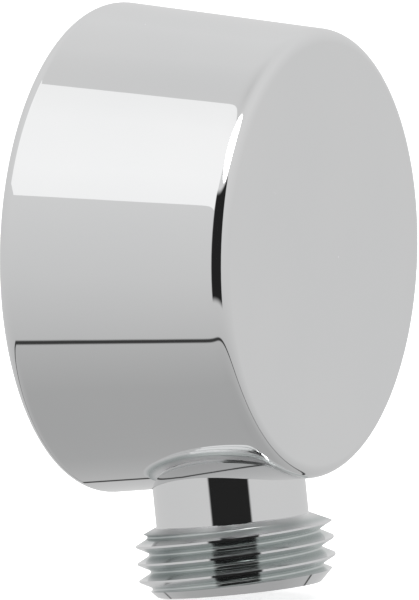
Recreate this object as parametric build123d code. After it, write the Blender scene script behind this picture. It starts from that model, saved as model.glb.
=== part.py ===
from build123d import *
import math
import os

# Wall outlet elbow for a hand shower hose.
# Frame: origin at the centre of the wall face, on the inlet axis. +Z up, the
# front disc faces -Y, the wall is at y = 0 and lies on the +Y side.
# All lengths in millimetres.

# drum
wall_dia = 51.55           # across the rim that meets the wall, before its edge is rounded
front_dia = 46.6           # across the front disc, before its edge is rounded
depth = 25.4               # wall to front disc
front_edge_r = 1.5         # polished round between side and front disc
rear_edge_r = 1.6          # round on the rim at the wall
shell_t = 3.0              # side wall, square to the surface
front_t = 3.0              # front wall
cavity_corner_r = 2.0

# wall gasket and its seat in the rim
gasket_r_in = 20.6
gasket_r_out = 23.25
gasket_seat_r = 23.30
gasket_t = 1.5
gasket_edge_r = 0.25

# inlet, a female half-inch pipe thread modelled at its minor diameter
inlet_minor_r = 9.316
inlet_major_r = 10.478
boss_r_back = 13.0         # boss radius at its open end
boss_r_root = 13.4         # boss radius at the front wall
boss_recess = 0.8          # boss end below the wall plane
inlet_lead = 1.1           # lead-in chamfer
inlet_thread_end = 10.5    # depth of the last thread below the wall plane
relief_r = 10.6
relief_len = 2.0
chamber_r = 8.5
chamber_end = 20.6         # bottom of the water chamber below the wall plane

# outlet, square to the underside of the tapered drum
outlet_y = 13.95           # where its axis leaves the drum, from the wall
neck_r = 8.0
neck_seat = 5.0            # how far the neck goes into the drum
shank_r = 7.0
shank_end = 11.5
shank_hole_end = 12.5
fit_gap = 0.03             # radial room between nipple and body
thread_start = 3.75        # below the drum, along the outlet axis
thread_r = 10.35           # male half-inch pipe thread, major radius
thread_lead_deg = 25.0     # slope of the shoulder above the thread
outlet_end = 11.06
end_chamfer = 1.75
duct_r = 11.0
passage_r = 4.0
passage_y = 14.6

# nipple bore and hexagon for the key it is screwed in with
bore_r = 6.1
bore_end = 1.2
mouth_chamfer = 0.4
hex_af = 8.0
hex_end = -4.0
through_r = 4.0

# O-ring between nipple and body
neck_groove_top = -3.9
neck_groove_bottom = -2.2
neck_groove_r = 6.75

# non-return valve, along the outlet axis
valve_top = 1.25
valve_end = 9.9
housing_r = 6.0
housing_r_in = 4.4
plate_bottom = 2.9
seat_r_small = 2.9
seat_r_large = 4.0
seat_top = 2.1
housing_groove_top = 3.5
housing_groove_bottom = 4.9
housing_groove_r = 5.2
poppet_r = 3.6
poppet_top = 2.98
poppet_bottom = 3.75
nose_r = 1.9
cap_r = 2.35
cap_top = 1.55
cap_bottom = 2.08
stem_r = 0.9
stem_end = 8.85
travel = 2.2
guide_r = 4.36
guide_r_in = 3.5
guide_top = 8.3
hub_r = 2.1
hub_top = 7.6
stem_hole_r = 0.95
arm_w = 1.1
spring_mean_r = 1.55
spring_wire = 0.30
spring_turns = 4.5

tilt = math.atan2((wall_dia - front_dia) / 2, depth)
wall_r = wall_dia / 2
front_r = front_dia / 2


def side_r(y_from_wall):
    """Drum radius at a distance from the wall."""
    return wall_r - (wall_r - front_r) * y_from_wall / depth


def turned(points, rounds=()):
    """Solid of revolution about Y from (radius, y) points; rounds lists (point index, radius)."""
    face = make_face(Polyline(*[(x, y) for x, y in points], close=True))
    for index, radius in rounds:
        px, py = points[index]
        corner = face.vertices().sort_by_distance((px, py, 0))[0]
        face = fillet(corner, radius)
    return revolve(face, Axis.Y)


# outlet frame: local +Z runs out of the drum along the outlet axis, s = 0 on
# the underside of the drum
outlet_point = Vector(0, -outlet_y, -side_r(outlet_y))
outlet_dir = Vector(0, -math.sin(tilt), -math.cos(tilt))
outlet_plane = Plane(origin=outlet_point, x_dir=(1, 0, 0), z_dir=outlet_dir)


def turned_on_outlet(points, rounds=()):
    """Solid of revolution about the outlet axis from (radius, s) points."""
    face = make_face(Polyline(*[(x, 0, z) for x, z in points], close=True))
    for index, radius in rounds:
        px, pz = points[index]
        corner = face.vertices().sort_by_distance((px, 0, pz))[0]
        face = fillet(corner, radius)
    return outlet_plane.location * revolve(face, Axis.Z)


def rod_on_outlet(radius, s0, s1):
    return turned_on_outlet([(0, s0), (radius, s0), (radius, s1), (0, s1)])


# ---------------------------------------------------------------- body
outer = turned(
    [(0, -depth), (front_r, -depth), (wall_r, 0), (0, 0)],
    [(1, front_edge_r), (2, rear_edge_r)],
)

inset = shell_t / math.cos(tilt)
floor_y = -(depth - front_t)


def inner_r(y_from_wall):
    return side_r(y_from_wall) - inset


cavity = turned(
    [
        (0, 1.0),
        (inner_r(-1.0), 1.0),
        (inner_r(depth - front_t), floor_y),
        (boss_r_root, floor_y),
        (boss_r_back, -boss_recess),
        (0, -boss_recess),
    ],
    [(2, cavity_corner_r), (3, cavity_corner_r)],
)
duct = rod_on_outlet(duct_r, -shank_hole_end - 4.5, 4.0)
body = outer - (cavity - duct)

# seat for the wall gasket
body -= turned(
    [(gasket_r_in - 0.5, -gasket_t), (gasket_seat_r, -gasket_t), (gasket_seat_r, 1), (gasket_r_in - 0.5, 1)]
)

# inlet: lead-in, thread at its minor diameter, relief groove, water chamber
body -= turned(
    [
        (0, 1.0),
        (inlet_minor_r + inlet_lead + 1.0 + boss_recess, 1.0),
        (inlet_minor_r, -boss_recess - inlet_lead),
        (inlet_minor_r, -inlet_thread_end),
        (relief_r, -inlet_thread_end - (relief_r - inlet_minor_r)),
        (relief_r, -inlet_thread_end - relief_len),
        (chamber_r, -inlet_thread_end - relief_len),
        (chamber_r, -chamber_end),
        (0, -chamber_end),
    ],
    [(7, 1.2)],
)

# outlet hole: neck seat, thread at its major diameter, passage to the chamber
body -= turned_on_outlet(
    [
        (0, -shank_hole_end),
        (shank_r + fit_gap, -shank_hole_end),
        (shank_r + fit_gap, -neck_seat),
        (neck_r + fit_gap, -neck_seat),
        (neck_r + fit_gap, 5.0),
        (0, 5.0),
    ]
)
passage_top = -4.0
passage_bottom = outlet_point.Z + shank_hole_end * math.cos(tilt) - 1.5
body -= Pos(0, -passage_y, (passage_top + passage_bottom) / 2) * Cylinder(
    passage_r, passage_top - passage_bottom
)

# ---------------------------------------------------------------- gasket
wall_gasket = turned(
    [
        (gasket_r_in, -gasket_t),
        (gasket_r_out, -gasket_t),
        (gasket_r_out, 0),
        (gasket_r_in, 0),
    ],
    [(0, gasket_edge_r), (1, gasket_edge_r), (2, gasket_edge_r), (3, gasket_edge_r)],
)

# ---------------------------------------------------------------- nipple
lead = (thread_r - neck_r) * math.tan(math.radians(thread_lead_deg))
outlet_nipple = turned_on_outlet(
    [
        (0, -shank_end),
        (shank_r - 0.8, -shank_end),
        (shank_r, -shank_end + 0.8),
        (shank_r, -neck_seat),
        (neck_r, -neck_seat),
        (neck_r, neck_groove_top),
        (neck_groove_r, neck_groove_top),
        (neck_groove_r, neck_groove_bottom),
        (neck_r, neck_groove_bottom),
        (neck_r, thread_start),
        (thread_r, thread_start + lead),
        (thread_r, outlet_end - end_chamfer),
        (thread_r - end_chamfer, outlet_end),
        (0, outlet_end),
    ],
    [(6, 0.2), (7, 0.2)],
)
outlet_nipple -= turned_on_outlet(
    [
        (0, bore_end),
        (bore_r, bore_end),
        (bore_r, outlet_end - mouth_chamfer),
        (bore_r + mouth_chamfer, outlet_end),
        (bore_r + mouth_chamfer, outlet_end + 1),
        (0, outlet_end + 1),
    ]
)
outlet_nipple -= outlet_plane.location * (
    Pos(0, 0, hex_end)
    * extrude(RegularPolygon(hex_af / 2, 6, major_radius=False), bore_end - hex_end + 0.5)
)
outlet_nipple -= rod_on_outlet(through_r, -shank_end - 1, hex_end + 0.5)

ring_gap = 0.01
nipple_o_ring = turned_on_outlet(
    [
        (neck_groove_r + ring_gap, neck_groove_top + 0.1),
        (neck_r + fit_gap - ring_gap, neck_groove_top + 0.1),
        (neck_r + fit_gap - ring_gap, neck_groove_bottom - 0.1),
        (neck_groove_r + ring_gap, neck_groove_bottom - 0.1),
    ],
    [(0, 0.5), (1, 0.5), (2, 0.5), (3, 0.5)],
)

# ---------------------------------------------------------------- valve
valve_housing = turned_on_outlet(
    [
        (seat_r_small, valve_top),
        (housing_r - 0.4, valve_top),
        (housing_r, valve_top + 0.4),
        (housing_r, housing_groove_top),
        (housing_groove_r, housing_groove_top),
        (housing_groove_r, housing_groove_bottom),
        (housing_r, housing_groove_bottom),
        (housing_r, valve_end),
        (housing_r_in, valve_end),
        (housing_r_in, plate_bottom),
        (seat_r_large, plate_bottom),
        (seat_r_small, seat_top),
    ],
    [(7, 0.3)],
)
housing_o_ring = turned_on_outlet(
    [
        (housing_groove_r + ring_gap, housing_groove_top + 0.1),
        (bore_r - ring_gap, housing_groove_top + 0.1),
        (bore_r - ring_gap, housing_groove_bottom - 0.1),
        (housing_groove_r + ring_gap, housing_groove_bottom - 0.1),
    ],
    [(0, 0.4), (1, 0.4), (2, 0.4), (3, 0.4)],
)

valve_poppet = turned_on_outlet(
    [
        (0, cap_top),
        (cap_r - 0.2, cap_top),
        (cap_r, cap_top + 0.2),
        (cap_r, cap_bottom),
        (nose_r, cap_bottom),
        (nose_r, poppet_top),
        (poppet_r, poppet_top),
        (poppet_r, poppet_bottom),
        (stem_r, poppet_bottom),
        (stem_r, stem_end - 0.3),
        (stem_r - 0.3, stem_end),
        (0, stem_end),
    ],
    [(7, 0.25)],
)
poppet_seal = turned_on_outlet(
    [
        (nose_r + ring_gap, cap_bottom + 0.01),
        (2.80, cap_bottom + 0.01),
        (3.50, cap_bottom + 0.54),
        (3.50, poppet_top - 0.01),
        (nose_r + ring_gap, poppet_top - 0.01),
    ],
    [(2, 0.1)],
)

# guide: rim, hub and three arms
guide_rim = turned_on_outlet(
    [(guide_r_in, guide_top), (guide_r, guide_top), (guide_r, valve_end), (guide_r_in, valve_end)],
    [(2, 0.2), (3, 0.2)],
)
guide_hub = turned_on_outlet(
    [(0, hub_top), (hub_r, hub_top), (hub_r, valve_end - 0.5), (0, valve_end - 0.5)],
    [(2, 0.3)],
)
valve_guide = guide_rim + guide_hub
for k in range(3):
    arm = Rot(0, 0, 90 + 120 * k) * Pos((guide_r_in + hub_r) / 2, 0, (guide_top + valve_end - 0.3) / 2) * Box(
        guide_r_in - hub_r + 1.0, arm_w, valve_end - 0.3 - guide_top
    )
    valve_guide += outlet_plane.location * arm
valve_guide -= rod_on_outlet(stem_hole_r, hub_top - 1, valve_end + 1)

# spring between the poppet and the hub
spring_gap = 0.02
spring_len = hub_top - poppet_bottom - 2 * spring_gap - spring_wire
coil = Helix(pitch=spring_len / spring_turns, height=spring_len, radius=spring_mean_r)
wire = sweep(
    Plane(origin=coil @ 0, z_dir=coil % 0) * Circle(spring_wire / 2), path=coil, is_frenet=True
)
valve_spring = outlet_plane.location * (Pos(0, 0, poppet_bottom + spring_gap + spring_wire / 2) * wire)

pieces = {
    "body": body,
    "wall_gasket": wall_gasket,
    "outlet_nipple": outlet_nipple,
    "nipple_o_ring": nipple_o_ring,
    "valve_housing": valve_housing,
    "housing_o_ring": housing_o_ring,
    "valve_guide": valve_guide,
    "valve_poppet": valve_poppet,
    "poppet_seal": poppet_seal,
    "valve_spring": valve_spring,
}

os.makedirs("parts", exist_ok=True)
for name, shape in pieces.items():
    solids = shape.solids()
    export_step(solids[0] if len(solids) == 1 else Compound(children=list(solids)), f"parts/{name}.step")
    print(name, len(solids), round(sum(s.volume for s in solids), 2))
print("tilt", math.degrees(tilt), "outlet point", outlet_point, "dir", outlet_dir)
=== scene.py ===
import bpy
import bmesh
import math
import numpy as np
from mathutils import Matrix, Vector


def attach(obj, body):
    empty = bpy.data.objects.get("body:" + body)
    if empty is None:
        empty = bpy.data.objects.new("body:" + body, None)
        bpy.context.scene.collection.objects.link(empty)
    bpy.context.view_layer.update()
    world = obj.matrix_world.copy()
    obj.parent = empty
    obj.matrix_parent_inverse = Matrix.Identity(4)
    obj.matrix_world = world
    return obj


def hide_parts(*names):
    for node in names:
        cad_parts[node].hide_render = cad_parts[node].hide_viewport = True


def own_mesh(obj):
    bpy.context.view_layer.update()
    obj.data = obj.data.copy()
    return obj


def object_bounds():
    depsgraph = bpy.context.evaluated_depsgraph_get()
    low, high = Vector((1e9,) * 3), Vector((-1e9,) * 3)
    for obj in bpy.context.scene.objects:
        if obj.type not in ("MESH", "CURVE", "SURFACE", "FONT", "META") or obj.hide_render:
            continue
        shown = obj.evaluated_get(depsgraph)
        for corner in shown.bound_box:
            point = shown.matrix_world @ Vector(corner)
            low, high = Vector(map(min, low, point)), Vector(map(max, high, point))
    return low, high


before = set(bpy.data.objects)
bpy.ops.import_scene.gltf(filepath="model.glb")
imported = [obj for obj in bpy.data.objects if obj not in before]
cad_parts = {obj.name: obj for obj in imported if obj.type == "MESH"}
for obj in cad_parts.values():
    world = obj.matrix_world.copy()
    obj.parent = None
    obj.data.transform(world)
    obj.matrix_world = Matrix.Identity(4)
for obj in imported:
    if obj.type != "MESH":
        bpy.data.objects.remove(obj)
cad_lo, cad_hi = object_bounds()
scene = bpy.context.scene
scene.view_settings.view_transform = "Standard"
scene.view_settings.look = "None"
scene.view_settings.exposure = 0.0
scene.view_settings.gamma = 1.0

MM = 0.001

# ------------------------------------------------------------------ dimensions
# the same sizes as the construction, in millimetres
wall_r = 51.55 / 2
front_r = 46.6 / 2
depth = 25.4
front_edge_r = 1.5
rear_edge_r = 1.6
tilt = math.atan2(wall_r - front_r, depth)
outlet_y = 13.95
outlet_point = Vector((0, -outlet_y, -(wall_r - (wall_r - front_r) * outlet_y / depth)))
outlet_dir = Vector((0, -math.sin(tilt), -math.cos(tilt)))
outlet_x = Vector((1, 0, 0))
outlet_yv = outlet_dir.cross(outlet_x)

pitch = 1.814
neck_r = 8.0
neck_seat = 5.0
shank_r = 7.0
shank_end = 11.5
thread_start = 3.75
thread_r = 10.35
thread_lead = (thread_r - neck_r) * math.tan(math.radians(25.0))
outlet_end = 11.06
end_chamfer = 1.75
bore_r = 6.1
bore_end = 1.2
mouth_chamfer = 0.4
hex_af = 8.0
hex_end = -4.0
through_r = 4.0
groove_top, groove_bottom, groove_r = -3.9, -2.2, 6.75
inlet_minor_r = 9.316
inlet_major_r = 10.478


def on_outlet(x, y, s):
    """Point of the outlet's own frame (mm) in the row frame (m)."""
    return (outlet_point + outlet_x * x + outlet_yv * y + outlet_dir * s) * MM


# ------------------------------------------------------------------ mesh tools
def new_object(name, verts, faces):
    me = bpy.data.meshes.new(name)
    me.from_pydata([tuple(v) for v in verts], [], faces)
    me.validate()
    me.update()
    o = bpy.data.objects.new(name, me)
    scene.collection.objects.link(o)
    bm = bmesh.new()
    bm.from_mesh(me)
    bmesh.ops.recalc_face_normals(bm, faces=bm.faces)
    bm.to_mesh(me)
    bm.free()
    return o


def drop(o):
    me = o.data
    bpy.data.objects.remove(o)
    if me.users == 0:
        bpy.data.meshes.remove(me)


def combined(a, b, operation):
    """Boolean of two closed meshes; both operands are used up."""
    m = a.modifiers.new("b", "BOOLEAN")
    m.operation = operation
    m.solver = "EXACT"
    m.object = b
    bpy.context.view_layer.update()
    dg = bpy.context.evaluated_depsgraph_get()
    me = bpy.data.meshes.new_from_object(a.evaluated_get(dg), depsgraph=dg)
    name = a.name
    drop(a)
    drop(b)
    me.name = name
    o = bpy.data.objects.new(name, me)
    scene.collection.objects.link(o)
    return o


def lathe(name, profile, place, n=256):
    """Closed solid of revolution. profile: (radius, axial) in mm, first and last points on the axis."""
    verts, faces, rings = [], [], []
    for r, s in profile:
        if r <= 1e-9:
            rings.append([len(verts)])
            verts.append(place(0.0, 0.0, s))
        else:
            ring = []
            for i in range(n):
                a = 2 * math.pi * i / n
                ring.append(len(verts))
                verts.append(place(r * math.cos(a), r * math.sin(a), s))
            rings.append(ring)
    for p, q in zip(rings, rings[1:]):
        for i in range(n):
            j = (i + 1) % n
            if len(p) == 1 and len(q) == 1:
                continue
            if len(p) == 1:
                faces.append((p[0], q[i], q[j]))
            elif len(q) == 1:
                faces.append((p[i], q[0], p[j]))
            else:
                faces.append((p[i], q[i], q[j], p[j]))
    return new_object(name, verts, faces)


def thread_rows(tip, half, root_round, outward):
    """One pitch of a V thread as (phase, radius) rows. tip is the sharp edge's radius; the other edge is rounded."""
    high = pitch / 2 / math.tan(half)
    sign = -1 if outward else 1
    base = tip + sign * high
    centre = base - sign * root_round / math.sin(half)
    rows = [(0.0, tip)]
    reach = math.pi / 2 - half
    for i in range(7):
        a = -reach + 2 * reach * i / 6
        rows.append((0.5 + root_round * math.sin(a) / pitch, centre + sign * root_round * math.cos(a)))
    return rows


def helix_sleeve(name, rows, s0, turns, phase, other_r, place, n=192):
    """Closed solid between a right-hand screw surface and a cylinder of radius other_r.

    The screw surface is one long helical strip, so its rows follow the thread's edges exactly. Its two ends are
    helical edges one pitch high, closed by radial steps, and lie outside the part that is cut.
    """
    total = turns * n
    verts, faces = [], []
    cols = []
    prof = list(rows) + [(1.0, rows[0][1])]
    for t in range(total + 1):
        a = 2 * math.pi * t / n
        base = s0 + pitch * (t / n)
        col = []
        for u, r in prof[:-1]:
            col.append(len(verts))
            verts.append(place(r * math.cos(a), r * math.sin(a), base + (u + phase) * pitch))
        cols.append(col)
    k = len(prof) - 1
    for t in range(total):
        c, d = cols[t], cols[t + 1]
        for m in range(k - 1):
            faces.append((c[m], d[m], d[m + 1], c[m + 1]))
        # last row of this turn meets the first row one turn on
        if t + n < total:
            e, f = cols[t + n], cols[t + n + 1]
            faces.append((c[k - 1], d[k - 1], f[0], e[0]))
    # outer helical edges: first row of the first turn, last row of the last turn
    low = [cols[t][0] for t in range(n + 1)]
    high = [cols[t][k - 1] for t in range(total - n, total + 1)]
    # other wall: cylinder whose two rims follow the same helical edges
    low_o, high_o = [], []
    for t in range(n + 1):
        a = 2 * math.pi * t / n
        low_o.append(len(verts))
        verts.append(place(other_r * math.cos(a), other_r * math.sin(a), s0 + pitch * (t / n) + (prof[0][0] + phase) * pitch))
    for t in range(total - n, total + 1):
        a = 2 * math.pi * t / n
        high_o.append(len(verts))
        verts.append(place(other_r * math.cos(a), other_r * math.sin(a), s0 + pitch * (t / n) + (prof[k - 1][0] + phase) * pitch))
    for i in range(n):
        faces.append((low[i], low_o[i], low_o[i + 1], low[i + 1]))
        faces.append((high[i], high[i + 1], high_o[i + 1], high_o[i]))
        faces.append((low_o[i], high_o[i], high_o[i + 1], low_o[i + 1]))
    # radial steps where a helical end jumps by one pitch
    first = [cols[0][m] for m in range(k)] + [cols[n][0]]
    faces.append(tuple(first + [low_o[n], low_o[0]]))
    last = [cols[total - n][k - 1]] + [cols[total][m] for m in range(k)]
    faces.append(tuple(last + [high_o[n], high_o[0]]))
    return new_object(name, verts, faces)


def tidied(o):
    """Without the slivers and loose edges that a boolean leaves."""
    bm = bmesh.new()
    bm.from_mesh(o.data)
    bmesh.ops.remove_doubles(bm, verts=bm.verts, dist=1e-7)
    bmesh.ops.dissolve_degenerate(bm, dist=1e-7, edges=bm.edges)
    bmesh.ops.delete(bm, geom=[e for e in bm.edges if not e.link_faces], context="EDGES")
    bm.to_mesh(o.data)
    bm.free()


def smooth(o, degrees):
    o.data.shade_smooth()
    o.data.set_sharp_from_angle(angle=math.radians(degrees))


# ------------------------------------------------------------------ node tools
class Nodes:
    def __init__(self, tree):
        self.t = tree
        tree.nodes.clear()

    def add(self, kind, **values):
        n = self.t.nodes.new(kind)
        for k, v in values.items():
            setattr(n, k, v)
        return n

    def link(self, a, b):
        self.t.links.new(a, b)

    def put(self, socket, value):
        if isinstance(value, bpy.types.NodeSocket):
            self.link(value, socket)
        else:
            socket.default_value = value

    def math(self, op, a, b=None, c=None, clamp=False):
        n = self.add("ShaderNodeMath", operation=op, use_clamp=clamp)
        self.put(n.inputs[0], a)
        if b is not None:
            self.put(n.inputs[1], b)
        if c is not None:
            self.put(n.inputs[2], c)
        return n.outputs[0]

    def ramp01(self, x, lo, hi, kind="SMOOTHSTEP"):
        n = self.add("ShaderNodeMapRange", interpolation_type=kind, clamp=True)
        self.put(n.inputs["Value"], x)
        n.inputs["From Min"].default_value = lo
        n.inputs["From Max"].default_value = hi
        return n.outputs["Result"]

    def band(self, x, lo, hi, soft):
        """1 between lo and hi, falling to 0 over soft outside of them."""
        a = self.ramp01(x, lo - soft, lo + soft)
        b = self.ramp01(x, hi - soft, hi + soft)
        return self.math("MULTIPLY", a, self.math("SUBTRACT", 1.0, b))

    def mix(self, f, a, b, blend="MIX"):
        n = self.add("ShaderNodeMix", data_type="RGBA", blend_type=blend)
        self.put(n.inputs["Factor"], f)
        for name, v in (("A", a), ("B", b)):
            s = [i for i in n.inputs if i.name == name and i.type == "RGBA"][0]
            self.put(s, v if isinstance(v, bpy.types.NodeSocket) else (*v, 1.0))
        return [o for o in n.outputs if o.type == "RGBA"][0]

    def colours(self, x, stops, kind="LINEAR"):
        n = self.add("ShaderNodeValToRGB")
        n.color_ramp.interpolation = kind
        el = n.color_ramp.elements
        while len(el) > 1:
            el.remove(el[-1])
        el[0].position, el[0].color = stops[0][0], (*stops[0][1], 1.0)
        for p, c in stops[1:]:
            e = el.new(p)
            e.color = (*c, 1.0)
        self.put(n.inputs["Fac"], x)
        return n.outputs["Color"]

    def noise(self, vec, scale, detail=3.0, rough=0.5, distortion=0.0):
        n = self.add("ShaderNodeTexNoise", noise_dimensions="3D")
        self.put(n.inputs["Vector"], vec)
        n.inputs["Scale"].default_value = scale
        n.inputs["Detail"].default_value = detail
        n.inputs["Roughness"].default_value = rough
        n.inputs["Distortion"].default_value = distortion
        return n.outputs["Fac"]

    def bump(self, height, strength, distance, normal=None):
        n = self.add("ShaderNodeBump")
        n.inputs["Strength"].default_value = strength
        n.inputs["Distance"].default_value = distance
        self.put(n.inputs["Height"], height)
        if normal is not None:
            self.put(n.inputs["Normal"], normal)
        return n.outputs["Normal"]


def lin(*srgb):
    """0-255 display values to linear."""
    out = []
    for v in srgb:
        c = v / 255.0
        out.append(c / 12.92 if c <= 0.04045 else ((c + 0.055) / 1.055) ** 2.4)
    return tuple(out)


def material(name):
    m = bpy.data.materials.new(name)
    m.use_nodes = True
    n = Nodes(m.node_tree)
    out = n.add("ShaderNodeOutputMaterial")
    p = n.add("ShaderNodeBsdfPrincipled")
    n.link(p.outputs[0], out.inputs["Surface"])
    co = n.add("ShaderNodeTexCoord").outputs["Object"]
    return m, n, p, co


def scaled(n, co, sx, sy, sz):
    m = n.add("ShaderNodeMapping")
    n.put(m.inputs["Vector"], co)
    m.inputs["Scale"].default_value = (sx, sy, sz)
    return m.outputs["Vector"]


def dust(n, co, cells, share, size):
    """Mask of tiny separate specks: cells per metre, share of cells that hold one, radius as a share of a cell."""
    v = n.add("ShaderNodeTexVoronoi", feature="F1", voronoi_dimensions="3D")
    n.put(v.inputs["Vector"], co)
    v.inputs["Scale"].default_value = cells
    sep = n.add("ShaderNodeSeparateColor")
    n.link(v.outputs["Color"], sep.inputs[0])
    here = n.math("GREATER_THAN", sep.outputs[0], 1.0 - share)
    near = n.math("SUBTRACT", 1.0, n.ramp01(v.outputs["Distance"], size * 0.6, size))
    return n.math("MULTIPLY", here, near)


def from_axis(n, co):
    """Distance from the outlet axis, and place along it, in metres."""

    def vector(op, a, b=None):
        v = n.add("ShaderNodeVectorMath", operation=op)
        n.put(v.inputs[0], a)
        if b is not None:
            n.put(v.inputs[1], b)
        return v

    rel = vector("SUBTRACT", co, tuple(outlet_point * MM)).outputs[0]
    along = vector("DOT_PRODUCT", rel, tuple(outlet_dir)).outputs["Value"]
    foot = vector("SCALE", tuple(outlet_dir))
    n.put(foot.inputs["Scale"], along)
    off = vector("SUBTRACT", rel, foot.outputs[0]).outputs[0]
    return vector("LENGTH", off).outputs["Value"], along


# ------------------------------------------------------------------ materials
def chrome(name, haze=0.0, specks=0.004, threaded=False):
    m, n, p, co = material(name)
    cloud = n.noise(co, 60.0, 3.0, 0.5)
    fine = n.noise(co, 900.0, 4.0, 0.6)
    speck = n.math("MULTIPLY", dust(n, co, 1500.0, specks, 0.10), 0.6)
    tint = n.mix(cloud, (0.76, 0.768, 0.775), (0.80, 0.80, 0.80))
    if threaded:
        # painted shade: the thread's roots are tinted darker grey, most of all on the wall side
        radius, along = from_axis(n, co)
        past = n.math("MAXIMUM", n.math("SUBTRACT", along, (outlet_end - end_chamfer) * MM), 0.0)
        root = n.math("SUBTRACT", 1.0, n.ramp01(n.math("ADD", radius, past), 9.45 * MM, 10.30 * MM))
        root = n.math("MULTIPLY", root, n.band(along, 4.2 * MM, 10.7 * MM, 0.3 * MM))
        place = n.add("ShaderNodeSeparateXYZ")
        n.link(co, place.inputs[0])
        # painted shade in the roots, darker towards the wall
        grey = n.mix(n.ramp01(place.outputs[1], -14.0 * MM, -10.5 * MM), (0.56, 0.60, 0.59), (0.42, 0.46, 0.455))
        tint = n.mix(n.math("MULTIPLY", root, n.math("MULTIPLY_ADD", fine, 0.3, 0.7)), tint, grey)
        # the flank that leads into the thread is cut and not polished
        cut = n.math("MULTIPLY", n.ramp01(radius, 8.03 * MM, 8.12 * MM), n.ramp01(along, 3.78 * MM, 3.84 * MM))
        lead = n.math("MULTIPLY", cut, n.math("SUBTRACT", 1.0, n.ramp01(along, 4.85 * MM, 5.0 * MM)))
        haze_here = n.math("MULTIPLY_ADD", lead, 0.27, n.math("MULTIPLY_ADD", root, 0.06, 0.01 + haze))
    else:
        haze_here = 0.01 + haze
    n.put(p.inputs["Base Color"], n.mix(speck, tint, (0.85, 0.86, 0.88)))
    n.put(p.inputs["Metallic"], n.math("SUBTRACT", 1.0, speck))
    rough = n.math("MULTIPLY_ADD", fine, 0.02, haze_here)
    n.put(p.inputs["Roughness"], n.math("ADD", rough, n.math("MULTIPLY", speck, 0.5)))
    wave = n.noise(co, 110.0, 1.0, 0.4)
    surface = n.bump(wave, 0.05, 0.00012)
    if threaded:
        # fine turning marks round the outlet axis on all that is threaded
        marks = n.add("ShaderNodeCombineXYZ")
        n.link(along, marks.inputs[0])
        n.link(radius, marks.inputs[1])
        n.put(marks.inputs[2], n.math("MULTIPLY", place.outputs[0], 0.02))
        turned = n.math("MULTIPLY", n.noise(marks.outputs[0], 6500.0, 2.0, 0.6), cut)
        surface = n.bump(turned, 1.0, 0.000008, surface)
    n.put(p.inputs["Normal"], surface)
    return m


def cast_brass(name):
    """As-cast inside of the drum: grainy and dull brass, darker in the grain."""
    m, n, p, co = material(name)
    grain = n.noise(co, 1500.0, 5.0, 0.65)
    blotch = n.noise(co, 160.0, 4.0, 0.6)
    base = n.colours(blotch, [(0.30, (0.36, 0.25, 0.11)), (0.50, (0.50, 0.36, 0.17)), (0.72, (0.58, 0.47, 0.29))])
    n.put(p.inputs["Base Color"], n.mix(n.math("MULTIPLY", grain, 0.5), base, (0.30, 0.22, 0.11)))
    p.inputs["Metallic"].default_value = 1.0
    n.put(p.inputs["Roughness"], n.math("MULTIPLY_ADD", grain, 0.25, 0.38))
    n.put(p.inputs["Normal"], n.bump(grain, 0.55, 0.00022))
    return m


def cut_brass(name):
    """Machined brass of the inlet: brighter, with fine turning marks round the inlet axis."""
    m, n, p, co = material(name)
    turn = n.noise(scaled(n, co, 40.0, 9000.0, 40.0), 1.0, 2.0, 0.6)
    blotch = n.noise(co, 220.0, 3.0, 0.5)
    n.put(p.inputs["Base Color"], n.colours(blotch, [(0.35, (0.72, 0.53, 0.25)), (0.65, (0.80, 0.63, 0.34))]))
    p.inputs["Metallic"].default_value = 1.0
    n.put(p.inputs["Roughness"], n.math("MULTIPLY_ADD", turn, 0.18, 0.16))
    n.put(p.inputs["Normal"], n.bump(turn, 0.25, 0.00006))
    return m


def rubber(name, tone, dusty):
    m, n, p, co = material(name)
    grain = n.noise(co, 2600.0, 4.0, 0.6)
    blotch = n.noise(co, 240.0, 3.0, 0.5)
    a = tuple(tone * v for v in (0.9, 0.92, 0.95))
    b = tuple(tone * v for v in (1.7, 1.72, 1.72))
    body = n.mix(blotch, a, b)
    speck = dust(n, co, 1800.0, 0.10, 0.16)
    n.put(p.inputs["Base Color"], n.mix(n.math("MULTIPLY", speck, dusty), body, (0.42, 0.41, 0.39)))
    n.put(p.inputs["Roughness"], n.math("MULTIPLY_ADD", grain, 0.25, 0.50))
    n.put(p.inputs["Normal"], n.bump(grain, 0.25, 0.0001))
    return m


def plastic(name, a, b, rough):
    m, n, p, co = material(name)
    cloud = n.noise(co, 420.0, 3.0, 0.5)
    grain = n.noise(co, 5200.0, 3.0, 0.6)
    n.put(p.inputs["Base Color"], n.mix(cloud, a, b))
    n.put(p.inputs["Roughness"], n.math("MULTIPLY_ADD", grain, 0.15, rough))
    p.inputs["Subsurface Weight"].default_value = 0.06
    p.inputs["Subsurface Radius"].default_value = (0.0008, 0.0008, 0.0008)
    n.put(p.inputs["Normal"], n.bump(grain, 0.12, 0.00004))
    return m


def wire_steel(name):
    m, n, p, co = material(name)
    drawn = n.noise(co, 3000.0, 3.0, 0.6)
    n.put(p.inputs["Base Color"], n.mix(drawn, (0.52, 0.52, 0.53), (0.66, 0.66, 0.66)))
    p.inputs["Metallic"].default_value = 1.0
    n.put(p.inputs["Roughness"], n.math("MULTIPLY_ADD", drawn, 0.2, 0.2))
    n.put(p.inputs["Normal"], n.bump(drawn, 0.15, 0.00003))
    return m


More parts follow.
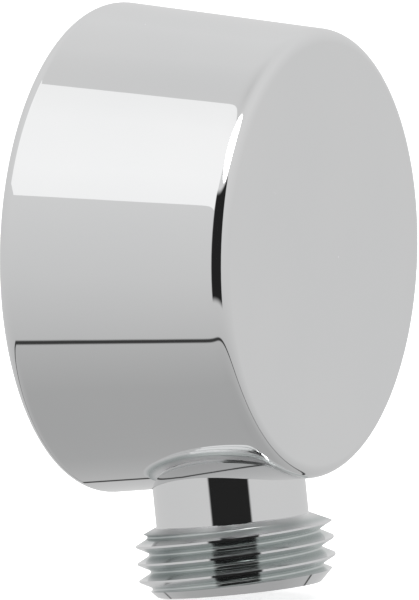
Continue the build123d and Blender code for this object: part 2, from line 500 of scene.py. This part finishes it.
chrome_body = chrome("chrome_body_finish")
chrome_nipple = chrome("chrome_nipple_finish", 0.02, 0.03, True)
brass_cast = cast_brass("brass_cast_finish")
brass_cut = cut_brass("brass_cut_finish")
gasket_mat = rubber("gasket_rubber_finish", 0.030, 0.6)
ring_mat = rubber("ring_rubber_finish", 0.018, 0.2)
housing_mat = plastic("housing_plastic_finish", (0.74, 0.75, 0.76), (0.80, 0.81, 0.81), 0.32)
guide_mat = plastic("guide_plastic_finish", (0.70, 0.71, 0.72), (0.77, 0.78, 0.78), 0.34)
poppet_mat = plastic("poppet_plastic_finish", (0.055, 0.16, 0.42), (0.075, 0.20, 0.50), 0.30)
spring_mat = wire_steel("spring_steel_finish")

for node, mat in (
    ("wall_gasket", gasket_mat),
    ("nipple_o_ring", ring_mat),
    ("housing_o_ring", ring_mat),
    ("poppet_seal", ring_mat),
    ("valve_housing", housing_mat),
    ("valve_guide", guide_mat),
    ("valve_poppet", poppet_mat),
):
    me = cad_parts[node].data
    me.materials.clear()
    me.materials.append(mat)

# ------------------------------------------------------------------ nipple
shell = lathe(
    "nipple",
    [
        (0, -shank_end),
        (shank_r - 0.8, -shank_end),
        (shank_r, -shank_end + 0.8),
        (shank_r, -neck_seat),
        (neck_r, -neck_seat),
        (neck_r, groove_top),
        (groove_r, groove_top),
        (groove_r, groove_bottom),
        (neck_r, groove_bottom),
        (neck_r, thread_start),
        (thread_r, thread_start + thread_lead),
        (thread_r, outlet_end - end_chamfer),
        (thread_r - end_chamfer, outlet_end),
        (bore_r + mouth_chamfer, outlet_end),
        (bore_r, outlet_end - mouth_chamfer),
        (bore_r, bore_end),
        (0, bore_end),
    ],
    on_outlet,
)
male = thread_rows(thread_r + 0.20, math.radians(27.5), 0.20, True)
thread_phase = 0.318
groove = helix_sleeve("groove", male, 0.2, 8, thread_phase, 13.0, on_outlet)
nipple = combined(shell, groove, "DIFFERENCE")
six = [
    (hex_af / 2 / math.cos(math.pi / 6) * math.cos(math.pi / 3 * i), hex_af / 2 / math.cos(math.pi / 6) * math.sin(math.pi / 3 * i))
    for i in range(6)
]
hexagon = new_object(
    "hexagon",
    [on_outlet(x, y, hex_end) for x, y in six] + [on_outlet(x, y, bore_end + 0.5) for x, y in six],
    [tuple(range(6)), tuple(range(6, 12))] + [(i, (i + 1) % 6, (i + 1) % 6 + 6, i + 6) for i in range(6)],
)
nipple = combined(nipple, hexagon, "DIFFERENCE")
through = lathe(
    "through",
    [(0, -shank_end - 1), (through_r, -shank_end - 1), (through_r, hex_end + 0.6), (0, hex_end + 0.6)],
    on_outlet,
    128,
)
nipple = combined(nipple, through, "DIFFERENCE")
nipple.name = nipple.data.name = "outlet_nipple_threaded"
tidied(nipple)
smooth(nipple, 24)
nipple.data.materials.clear()
nipple.data.materials.append(chrome_nipple)
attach(nipple, "root")
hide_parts("outlet_nipple")

# ------------------------------------------------------------------ body
body_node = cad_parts["body"]
me = body_node.data.copy()
bm = bmesh.new()
bm.from_mesh(me)
bmesh.ops.remove_doubles(bm, verts=bm.verts, dist=2e-7)
bm.to_mesh(me)
bm.free()
body = bpy.data.objects.new("drum_body", me)
scene.collection.objects.link(body)


def on_inlet(x, y, s):
    """Point of the inlet's own frame (mm), s running from the wall into the drum, in the row frame (m)."""
    return Vector((x, -s, y)) * MM


female = thread_rows(inlet_minor_r - 0.16, math.radians(27.5), 0.16, False)
tap = helix_sleeve("tap", female, -3.2, 8, 0.0, 4.0, on_inlet)
body = combined(body, tap, "DIFFERENCE")
body.name = body.data.name = "drum_body"
# rings on the cone close to the front edge, where polishing has rounded it off
edge_y = depth - front_edge_r + front_edge_r * math.sin(tilt)
bm = bmesh.new()
bm.from_mesh(body.data)
for back_off in (0.12, 0.25, 0.4, 0.55, 0.75, 1.0, 1.4):
    near = [
        f for f in bm.faces
        if min(math.hypot(v.co.x, v.co.z) for v in f.verts) > 22.6 * MM
        and min(v.co.y for v in f.verts) < -(edge_y - back_off) * MM < max(v.co.y for v in f.verts)
    ]
    geom = set(near)
    for f in near:
        geom.update(f.edges)
        geom.update(f.verts)
    bmesh.ops.bisect_plane(bm, geom=list(geom), dist=1e-8, plane_co=(0, -(edge_y - back_off) * MM, 0), plane_no=(0, 1, 0))
bm.to_mesh(body.data)
bm.free()
# the tap has cut faces, so the shading is worked out again from the shape
stored = body.data.attributes.get("custom_normal")
if stored:
    body.data.attributes.remove(stored)
smooth(body, 30)

# exact normals on the polished outside, so that it mirrors without facets
co = np.zeros(len(body.data.vertices) * 3)
body.data.vertices.foreach_get("co", co)
co = co.reshape(-1, 3) * 1000
cosn, sinn = math.cos(tilt), math.sin(tilt)


def edge_centre(r, y):
    return wall_r - (r + sinn * y) / cosn, y


polish = 0.28
front_c = edge_centre(front_edge_r, depth - front_edge_r)
rear_c = edge_centre(rear_edge_r, rear_edge_r)


def outside(points):
    """For points (mm): distance to the drum's outer skin, and the skin's outward normal there."""
    rad = np.hypot(points[:, 0], points[:, 2])
    y = -points[:, 1]
    nr = np.full(len(points), cosn)
    ny = np.full(len(points), sinn)
    dist = np.abs((rad - wall_r) * cosn + y * sinn)
    # split by where each stretch of the outline begins
    y_front = front_c[1] + front_edge_r * sinn
    y_rear = rear_c[1] + rear_edge_r * sinn
    for c, r, here in (
        (front_c, front_edge_r, (y > y_front) & (rad > front_c[0])),
        (rear_c, rear_edge_r, (y < y_rear) & (rad > rear_c[0])),
    ):
        dr, dy = rad - c[0], y - c[1]
        ln = np.maximum(np.hypot(dr, dy), 1e-9)
        nr = np.where(here, dr / ln, nr)
        ny = np.where(here, dy / ln, ny)
        dist = np.where(here, np.abs(ln - r), dist)
    # polished edge: the turn begins gently, a little before the round
    run = np.where(y > y_front, np.arctan2(y - front_c[1], np.maximum(rad - front_c[0], 1e-9)) * front_edge_r - tilt * front_edge_r, (y - y_front) / cosn)
    soft_r = polish * np.logaddexp(0.0, run / polish) / front_edge_r
    turned = np.minimum(tilt + soft_r, math.pi / 2)
    here = (y > y_front - 2.0) & (rad > front_c[0])
    nr = np.where(here, np.cos(turned), nr)
    ny = np.where(here, np.sin(turned), ny)
    flat = (y > y_front) & (rad <= front_c[0])
    nr = np.where(flat, 0.0, nr)
    ny = np.where(flat, 1.0, ny)
    dist = np.where(flat, np.abs(y - depth), dist)
    rr = np.maximum(rad, 1e-9)
    normal = np.stack([nr * points[:, 0] / rr, -ny, nr * points[:, 2] / rr], 1)
    return dist, normal


dist_v, normal_v = outside(co)
polys = body.data.polygons
centre = np.zeros(len(polys) * 3)
fnormal = np.zeros(len(polys) * 3)
polys.foreach_get("center", centre)
polys.foreach_get("normal", fnormal)
centre, fnormal = centre.reshape(-1, 3) * 1000, fnormal.reshape(-1, 3)
dist_f, normal_f = outside(centre)
skin = (dist_f < 0.06) & ((normal_f * fnormal).sum(1) > 0.93)
loops = len(body.data.loops)
corner = np.zeros(loops * 3)
body.data.corner_normals.foreach_get("vector", corner)
corner = corner.reshape(-1, 3)
loop_vert = np.zeros(loops, int)
body.data.loops.foreach_get("vertex_index", loop_vert)
start = np.zeros(len(polys), int)
count = np.zeros(len(polys), int)
polys.foreach_get("loop_start", start)
polys.foreach_get("loop_total", count)
loop_face = np.repeat(np.arange(len(polys)), count)
use = skin[loop_face] & (dist_v[loop_vert] < 0.06)
corner[use] = normal_v[loop_vert[use]]
# thin faces beside the cuts shade as flat
flat_face = ~use & ((corner * fnormal[loop_face]).sum(1) < math.cos(math.radians(20)))
corner[flat_face] = fnormal[loop_face[flat_face]]
body.data.normals_split_custom_set(corner.tolist())

# finishes by place: polished skin and rim, cast inside, machined inlet and outlet bores
body.data.materials.clear()
for m in (chrome_body, brass_cast, brass_cut):
    body.data.materials.append(m)
rad_f = np.hypot(centre[:, 0], centre[:, 2])
rim = (centre[:, 1] > -0.02) & (rad_f > 23.0)
seat = (centre[:, 1] > -1.6) & (rad_f > 20.0) & (rad_f < 23.5)
inlet = (rad_f < 11.2) & (centre[:, 1] > -21.0)
boss_end = (rad_f < 13.2) & (np.abs(centre[:, 1] + 0.8) < 0.03) & (fnormal[:, 1] > 0.9)
rel = centre - np.array(outlet_point)
along = rel @ np.array(outlet_dir)
off = np.linalg.norm(rel - along[:, None] * np.array(outlet_dir), axis=1)
hole = (off < neck_r + 0.1) & ~skin
index = np.where(skin | rim, 0, np.where(inlet | boss_end | hole | seat, 2, 1)).astype(np.int32)
polys.foreach_set("material_index", index)
body.data.update()
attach(body, "root")
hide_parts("body")

# ------------------------------------------------------------------ spring
hub_top, poppet_bottom = 7.6, 3.75
wire_d, mean_r = 0.30, 1.55
length = hub_top - poppet_bottom - 0.04 - wire_d
turns, per_turn, sides = 5.5, 40, 10
path = []
steps = int(turns * per_turn)
for i in range(steps + 1):
    t = i / per_turn
    # the first and last turns lie flat, nearly closed
    f = (t - 0.75) / (turns - 1.5)
    f = min(1.0, max(0.0, f))
    flat_lift = 0.16 * (min(t, 0.75) / 0.75) if t < 0.75 else 0.16
    top_lift = 0.16 * (max(0.0, t - (turns - 0.75)) / 0.75)
    s = flat_lift + f * (length - 0.32) + top_lift
    path.append((mean_r * math.cos(2 * math.pi * t), mean_r * math.sin(2 * math.pi * t), poppet_bottom + 0.02 + wire_d / 2 + s))
verts, faces = [], []
pts = [Vector(p) for p in path]
for i, p in enumerate(pts):
    tangent = (pts[min(i + 1, steps)] - pts[max(i - 1, 0)]).normalized()
    out = Vector((p.x, p.y, 0)).normalized()
    side = tangent.cross(out).normalized()
    out = side.cross(tangent).normalized()
    for k in range(sides):
        a = 2 * math.pi * k / sides
        q = p + (out * math.cos(a) + side * math.sin(a)) * (wire_d / 2)
        verts.append(on_outlet(q.x, q.y, q.z))
for i in range(steps):
    for k in range(sides):
        j = (k + 1) % sides
        faces.append((i * sides + k, i * sides + j, (i + 1) * sides + j, (i + 1) * sides + k))
faces.append(tuple(range(sides)))
faces.append(tuple(steps * sides + k for k in range(sides)))
spring = new_object("valve_spring_coil", verts, faces)
smooth(spring, 50)
spring.data.materials.append(spring_mat)
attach(spring, "root")
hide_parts("valve_spring")
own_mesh(spring)

# ------------------------------------------------------------------ stage
floor_z = cad_lo.z - 0.0003
half = 6.0
floor = new_object("floor", [(-half, -half, floor_z), (half, -half, floor_z), (half, half, floor_z), (-half, half, floor_z)], [(0, 1, 2, 3)])
fm, n, p, co = material("floor_paper")
grain = n.noise(co, 40.0, 3.0, 0.5)
n.put(p.inputs["Base Color"], n.mix(grain, (0.86, 0.86, 0.86), (0.88, 0.88, 0.88)))
p.inputs["Roughness"].default_value = 0.9
p.inputs["Specular IOR Level"].default_value = 0.0
p.inputs["Emission Color"].default_value = (1.0, 1.0, 1.0, 1.0)
p.inputs["Emission Strength"].default_value = 0.55
floor.data.materials.append(fm)
floor.visible_glossy = False

# ------------------------------------------------------------------ surroundings
# a plain light tent, neutral: paler above than below, with the table's edge low down and an opening on the camera's side
world = bpy.data.worlds.new("studio")
scene.world = world
world.use_nodes = True
n = Nodes(world.node_tree)
out = n.add("ShaderNodeOutputWorld")
bg = n.add("ShaderNodeBackground")
n.link(bg.outputs[0], out.inputs["Surface"])
sep = n.add("ShaderNodeSeparateXYZ")
n.link(n.add("ShaderNodeTexCoord").outputs["Generated"], sep.inputs[0])
dx, dy, dz = sep.outputs
elevation = n.math("MULTIPLY", n.math("ARCSINE", dz), 180 / math.pi)
bearing = n.math("MULTIPLY", n.math("ARCTAN2", dx, n.math("MULTIPLY", dy, -1.0)), 180 / math.pi)
tent = n.colours(
    n.ramp01(elevation, -90.0, 90.0, "LINEAR"),
    [((e + 90.0) / 180.0, (v, v, v)) for e, v in ((-90, 0.44), (-60, 0.46), (-39, 0.54), (-36, 0.60), (-8, 0.70), (10, 0.74), (40, 0.80), (62, 0.78), (90, 0.66))],
)
tent = n.mix(n.band(elevation, -38.6, -36.8, 0.5), tent, (0.05, 0.05, 0.05))
opening = n.math("MULTIPLY", n.band(bearing, -94.0, -34.0, 2.0), n.band(elevation, -18.0, 34.0, 2.0))
tent = n.mix(opening, tent, (0.02, 0.02, 0.02))
path = n.add("ShaderNodeLightPath")
soft = n.mix(path.outputs["Is Glossy Ray"], (0.86, 0.87, 0.88), tent)
n.put(bg.inputs["Color"], n.mix(path.outputs["Is Camera Ray"], soft, (1.0, 1.0, 1.0)))
bg.inputs["Strength"].default_value = 1.0

# ------------------------------------------------------------------ lights
# soft box overhead on the left and a key light, which the polished faces mirror, and a fill behind, which they don't
for name, loc, shape, size, power, mirrored in (
    ("soft_box", (-0.547, 0.30, 0.781), "SQUARE", 0.9, 0.85, True),
    ("key", (-0.45, -0.35, 0.75), "DISK", 0.6, 5.0, True),
    ("back", (-0.35, 0.70, 0.45), "DISK", 0.5, 4.0, False),
):
    light = bpy.data.lights.new(name, "AREA")
    light.shape = shape
    light.size = size
    light.energy = power
    o = bpy.data.objects.new(name, light)
    scene.collection.objects.link(o)
    o.location = loc
    o.rotation_mode = "QUATERNION"
    o.rotation_quaternion = (Vector((0, -0.012, -0.005)) - Vector(loc)).to_track_quat("-Z", "Y")
    o.visible_glossy = mirrored
    o.visible_camera = False

# ------------------------------------------------------------------ camera
PX_PER_MM = 9.5702
LENS = 1100.0
az, el, roll = math.radians(-63.4805), math.radians(5.4796), math.radians(0.8263)
back = Vector((math.sin(az) * math.cos(el), -math.cos(az) * math.cos(el), math.sin(el)))
right0 = Vector((math.cos(az), math.sin(az), 0))
up0 = back.cross(right0)
right = right0 * math.cos(roll) - up0 * math.sin(roll)
up = back.cross(right)
cam_data = bpy.data.cameras.new("camera")
cam_data.sensor_fit = "AUTO"
cam_data.sensor_width = 36.0
cam_data.lens = LENS
cam = bpy.data.objects.new("camera", cam_data)
scene.collection.objects.link(cam)
distance = LENS / 36.0 * 600.0 / PX_PER_MM * MM
aim = right * ((209.5 - 105.9894) / PX_PER_MM * MM) - up * ((300.0 - 246.7024) / PX_PER_MM * MM)
cam.matrix_world = Matrix(
    (
        (right.x, up.x, back.x, aim.x + back.x * distance),
        (right.y, up.y, back.y, aim.y + back.y * distance),
        (right.z, up.z, back.z, aim.z + back.z * distance),
        (0, 0, 0, 1),
    )
)
cam_data.clip_start = 0.05
cam_data.clip_end = 20.0
scene.camera = cam

# ------------------------------------------------------------------ update
bpy.context.view_layer.update()
